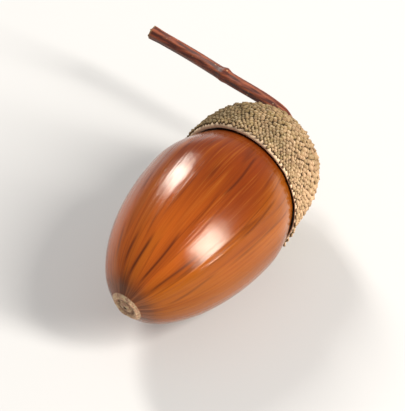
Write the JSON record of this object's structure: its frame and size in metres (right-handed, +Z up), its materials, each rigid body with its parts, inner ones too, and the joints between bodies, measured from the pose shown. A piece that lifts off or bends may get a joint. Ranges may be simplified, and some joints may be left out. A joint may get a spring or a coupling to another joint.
{
  "type": "acorn",
  "caption": "Glossy oval nut with a small ringed beak, seated in a scaly cup with a bent stub of stalk, lying on its side.",
  "frame": {"origin": "the small flat spot under the nut's widest ring, on the surface that the acorn lies on", "axes": "+Z up; the acorn's axis is level and lies along X, with the nut's tip towards -X and the stalk at +X; the stalk bends towards +Y"},
  "size_m": [0.0414, 0.0324, 0.0191],
  "materials": {
    "nut": "glossy leathery shell, reddish brown with darker streaks along its length",
    "cup": "matt and downy, tan with dark gaps between small overlapping scales",
    "stalk": "dull red-brown bark with small pale specks and a pale broken end"
  },
  "bodies": {
    "root": {"nut": "nut", "cup": "cup", "stalk": "stalk"}
  },
  "joints": []
}
